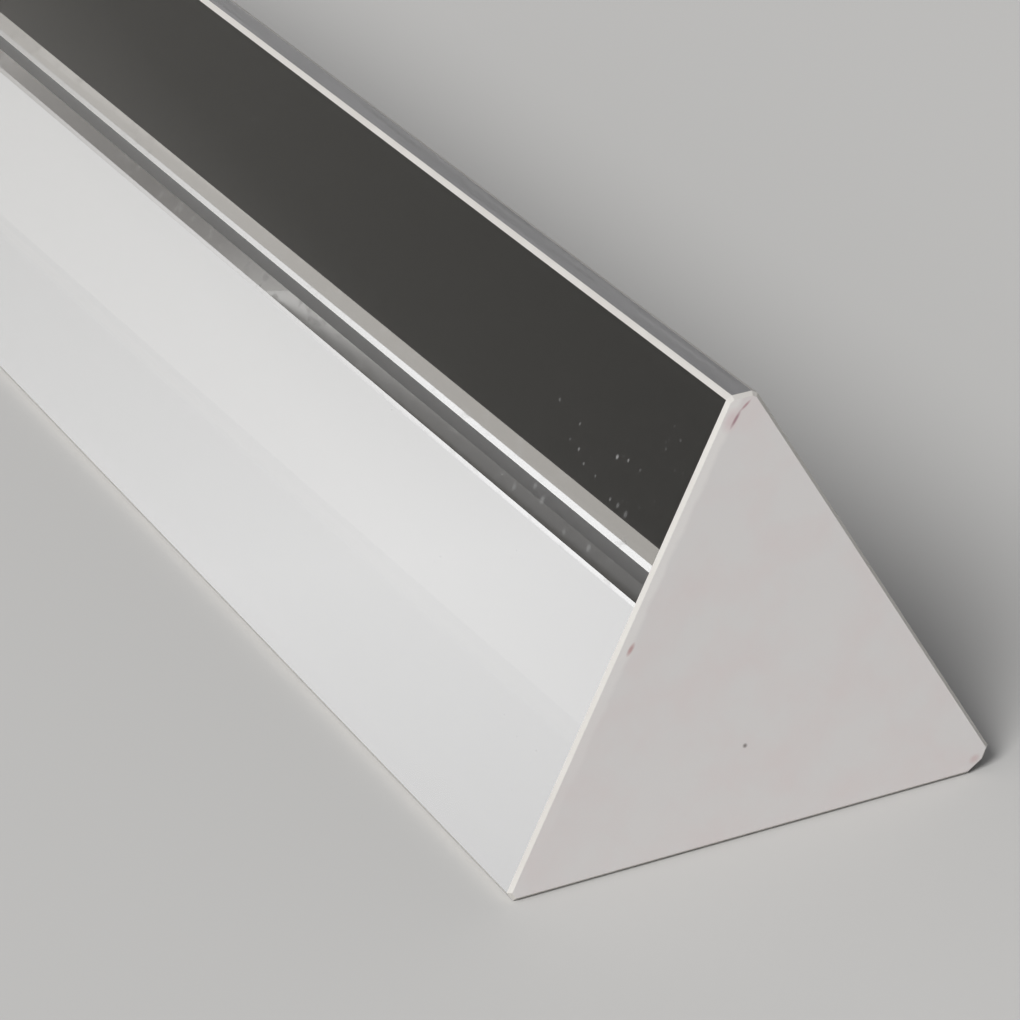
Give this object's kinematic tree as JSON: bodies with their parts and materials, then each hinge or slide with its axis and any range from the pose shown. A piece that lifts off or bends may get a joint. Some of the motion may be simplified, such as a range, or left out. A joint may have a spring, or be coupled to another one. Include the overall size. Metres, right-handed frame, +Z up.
{
  "type": "triangular prism",
  "caption": "Solid, nearly equilateral glass prism bar with polished long faces, ground ends and bevelled edges, for dispersing light.",
  "frame": {"origin": "middle of the bottom face, halfway between the sharp corners that its facets and bevels take off, and halfway along the bar", "axes": "+Y along the bar, +Z up from the bottom face to the ridge, +X towards the bottom edge with two facets"},
  "size_m": [0.029, 0.15, 0.0257],
  "materials": {
    "optical_glass": "clear optical crown glass, polished long faces, fine-ground ends and bevels"
  },
  "bodies": {
    "root": {"prism": "optical_glass"}
  },
  "joints": []
}
